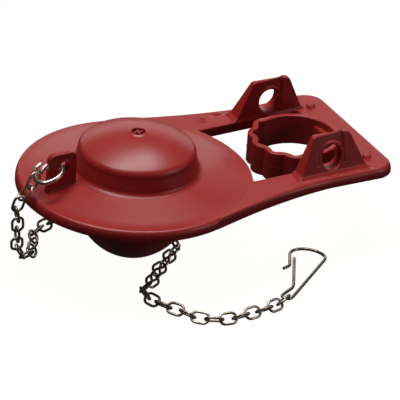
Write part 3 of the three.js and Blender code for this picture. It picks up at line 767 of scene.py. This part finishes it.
def tab():
    """The tab: a rounded plate round its hole. Its half thickness grows by a boss round the hole, and
    flares near the brim in a small fillet."""
    centre = np.array(TAB_HOLE)
    loop = outline(
        [
            (TAB_OUTER, TAB_LOW, 0),
            (TAB_INNER, TAB_LOW, 0),
            (TAB_INNER, TAB_TOP, TAB_CORNER),
            (TAB_OUTER, TAB_TOP, TAB_CORNER),
        ],
        12,
    )
    angles, rim = fanned(loop, centre, 160)
    rim = rim[:, None]
    edge, lip, margin = TAB_EDGE, TAB_LIP, 0.3
    turn = np.radians(np.linspace(0, 90, 5))
    boss = TAB_HOLE_RADIUS + BOSS
    near = np.concatenate(
        [TAB_HOLE_RADIUS + lip * (1 - np.cos(turn)), line(TAB_HOLE_RADIUS + 0.4, boss + margin, 10)]
    )
    near = np.broadcast_to(near, (len(rim), len(near)))
    share = np.linspace(0, 1, 16)[1:]
    middle = boss + margin + (rim - edge - boss - margin) * share
    reach = np.concatenate([near, middle, rim - edge * (1 - np.sin(turn[1:]))], 1)
    drop = np.zeros(reach.shape)
    drop[:, :5] = lip * (1 - np.sin(turn))
    drop[:, -4:] = edge * (1 - np.cos(turn[1:]))
    swell = BOSS_RISE * (1 - eased(boss - 0.35, boss + 0.1, reach))
    ray = np.stack([np.cos(angles), np.sin(angles)], 1)[:, None]
    flat = centre + ray * reach[..., None]
    above = flat[..., 1] - brim_height(abs(flat[..., 0]))
    fillet = TAB_FILLET[0] * (1 - np.clip(above / TAB_FILLET[1], 0, 1)) ** 2
    half = TAB_HALF + swell + fillet - drop
    flat = np.concatenate([flat, flat[:, ::-1]], 1)
    y = np.concatenate([-half, half[:, ::-1]], 1)
    return shell(np.stack([flat[..., 0], y, flat[..., 1]], -1), wrap_rows=True, wrap_columns=True)


def heel_rib(side):
    """A low rib behind an ear: half a round bar whose ends are domed."""
    path = line((-HEEL_RIB_HALF, 0), (HEEL_RIB_HALF, 0), 9)
    place = (HEEL_RIB[0], side * HEEL_RIB[1], RIM - HEEL_RIB_SINK)
    return moved(wire(path, HEEL_RIB_THICK, sides=24, closed=False), np.eye(3), place)


def cavity_mark():
    """The moulder's cavity mark: a fine raised ring with a dot in it, on the far side of the frame."""
    ring = wire(arc((0, 0), CAVITY_RING, 0, 355, 72), 0.5, sides=10, closed=True)
    dot = wire(line((-CAVITY_DOT_HALF, 0), (CAVITY_DOT_HALF, 0), 9), 0.6, sides=10, closed=False)
    return [moved(shape, np.eye(3), (*CAVITY_MARK, RIM - CAVITY_SINK)) for shape in (ring, dot)]


profile = valve_profile()
valve = turned(profile, 192, gate_stub, valve_shift(profile))
piece("valve_body", [valve], rubber, "flapper", ["flapper"])
piece("hinge_frame", [hinge_frame()], rubber, "flapper", ["flapper"])
piece("fluted_collar", [collar()], rubber, "flapper", ["flapper"])
piece("ring_tab", [tab()], rubber, "flapper", ["flapper"])
piece("cavity_mark", cavity_mark(), rubber, "flapper", ["flapper"])
for side, name in ((-1, "near_ear"), (1, "far_ear")):
    piece(name, [ear(side), heel_rib(side)], rubber, "flapper", ["flapper"])

# Split ring, chain and clip


def principal_axes(node):
    """The middle of a CAD node's points in millimetres, and its long, middle and short directions, by
    their singular value decomposition."""
    points = np.zeros(len(node.data.vertices) * 3)
    node.data.vertices.foreach_get("co", points)
    points = np.unique((points.reshape(-1, 3) * 1000).round(4), axis=0)
    middle = points.mean(0)
    return middle, np.linalg.svd(points - middle, full_matrices=False)[2]


def ring_path():
    """The ring's centre line: a turn and a bit that winds in on itself."""
    angle = np.radians(RING_TURNS[:, 0])
    return through(RING_TURNS[:, 1:] * np.stack([np.cos(angle), np.sin(angle)], 1), 10)


def link_path():
    """A link's centre line: two half circles joined by two straights."""
    bend = (LINK_WIDTH - LINK_WIRE) / 2
    straight = (LINK_LENGTH - LINK_WIDTH) / 2
    return np.concatenate([arc((straight, 0), bend, -90, 90, 17), arc((-straight, 0), bend, 90, 270, 17)])


def clip_path():
    """The clip's centre line, from the short leg's end round the eye, along the long leg and over the
    hook to its bent-out tail. X is measured from the eye along the clip, and Y across it."""
    end = CLIP_LENGTH
    return joined(
        line((end - 6.1, 10.1), (9.2, 1.9), 20),
        bezier([(9.2, 1.9), (7.4, 1.1), (5.4, 1.3)], 8),
        line((5.4, 1.3), (1.4, CLIP_EYE), 6),
        bezier([(1.4, CLIP_EYE), (0.7, CLIP_EYE + 0.05), (0, CLIP_EYE)], 4),
        arc((0, 0), CLIP_EYE, 90, 270, 16),
        bezier([(0, -CLIP_EYE), (1.2, -CLIP_EYE), (3, -1.6)], 6),
        line((3, -1.6), (end - 1.8, 0.75), 30),
        bezier([(end - 1.8, 0.75), (end + 0.8, 1), (end + 1.8, 3)], 10),
        bezier(
            [
                (end + 1.8, 3),
                (end + CLIP_HOOK + 1.6, 8.6),
                (end + 0.4, 14.6),
                (end - 4.4, 12.6),
            ],
            24,
        ),
        line((end - 4.4, 12.6), (end - 10.8, 9.6), 8),
        bezier([(end - 10.8, 9.6), (end - 12, 9), (end - 13, 9.2)], 8),
        line((end - 13, 9.2), (end - 15.4, 9.9), 4),
    )


ring_joint = joints["ring_turn"]
ring_axis = np.array(ring_joint["axis"])
ring_out = np.cross((0, 1, 0), ring_axis)
ring_place = np.array(ring_joint["pos_m"]) * 1000
ring_wire = wire(ring_path(), RING_WIRE, sides=24, closed=False)
split_ring = moved(ring_wire, [ring_out, (0, 1, 0), ring_axis], ring_place)
piece("split_ring_wire", [split_ring], ring_nickel, "ring", ["split_ring"])

link_shape = wire(link_path(), LINK_WIRE, sides=14, closed=True)
for name in sorted(n for n in frame["nodes"] if n.startswith("chain_link")):
    centre, axes = principal_axes(frame["nodes"][name])
    piece(name + "_wire", [moved(link_shape, axes, centre)], chain_nickel, "flapper", [name])

clip_joint = joints["clip_swing"]
clip_place = np.array(clip_joint["pos_m"]) * 1000
clip_fall = (clip_place[2] - (FLOOR + CLIP_WIRE / 2 + CLIP_CLEAR)) / (CLIP_LENGTH + CLIP_HOOK)
clip_level = np.array([np.cos(CLIP_HEADING), np.sin(CLIP_HEADING), 0])
clip_along = clip_level * np.sqrt(1 - clip_fall**2) - np.array([0, 0, clip_fall])
clip_across = np.array([-np.sin(CLIP_HEADING), np.cos(CLIP_HEADING), 0])
clip_axes = [clip_along, clip_across, np.cross(clip_along, clip_across)]
clip = moved(wire(clip_path(), CLIP_WIRE, sides=16, closed=False), clip_axes, clip_place)
piece("chain_clip_wire", [clip], chain_nickel, "clip", ["chain_clip"])

# Floor, light and camera


def floor_finish():
    """White light-table acrylic. Its own glow is nearly all that the camera sees of it, so shadows on it
    hardly show."""
    material, _, skin = new_material("lit_white_acrylic")
    skin.inputs["Base Color"].default_value = colour("#1C1C1C")
    skin.inputs["Roughness"].default_value = 0.9
    skin.inputs["Emission Color"].default_value = colour("#FFFFFD")
    skin.inputs["Emission Strength"].default_value = 0.985
    return material


floor_mesh = bpy.data.meshes.new("floor")
floor_mesh.from_pydata(
    [(x * FLOOR_HALF, y * FLOOR_HALF, FLOOR * 0.001) for x, y in ((-1, -1), (1, -1), (1, 1), (-1, 1))],
    [],
    [(0, 1, 2, 3)],
)
floor_mesh.materials.append(floor_finish())
floor = bpy.data.objects.new("floor", floor_mesh)
floor.visible_diffuse = False
floor.visible_glossy = False
bpy.context.scene.collection.objects.link(floor)


def softbox(name, place, width, height, power):
    """A white area light at a place in metres, turned towards LIT_POINT."""
    data = bpy.data.lights.new(name, "AREA")
    data.shape = "RECTANGLE"
    data.size, data.size_y = width, height
    data.energy = power
    lamp = bpy.data.objects.new(name, data)
    back = np.array(place) - np.array(LIT_POINT)
    back = back / np.linalg.norm(back)
    right = np.cross((0, 1, 0) if abs(back[2]) > 0.95 else (0, 0, 1), back)
    right = right / np.linalg.norm(right)
    turn = np.stack([right, np.cross(back, right), back], 1)
    lamp.matrix_world = Matrix.Translation(place) @ Matrix(turn.tolist()).to_4x4()
    bpy.context.scene.collection.objects.link(lamp)


for light in LIGHTS:
    softbox(*light)

world = bpy.data.worlds.new("studio")
world.use_nodes = True
world.node_tree.nodes["Background"].inputs["Color"].default_value = colour("#FFFFFF")
world.node_tree.nodes["Background"].inputs["Strength"].default_value = 0.03
scene = bpy.context.scene
scene.world = world
scene.view_settings.view_transform = "Standard"

# The photograph's long lens, far off
camera_data = bpy.data.cameras.new("camera")
camera_data.lens = 1223.8
camera_data.sensor_width = 36
camera_data.clip_end = 100
camera = bpy.data.objects.new("camera", camera_data)
right = CAMERA_RIGHT / np.linalg.norm(CAMERA_RIGHT)
up = CAMERA_UP - right * (CAMERA_UP @ right)
up = up / np.linalg.norm(up)
turn = np.stack([right, up, np.cross(right, up)], 1)
camera.matrix_world = Matrix.Translation(CAMERA_PLACE) @ Matrix(turn.tolist()).to_4x4()
scene.collection.objects.link(camera)
scene.camera = camera
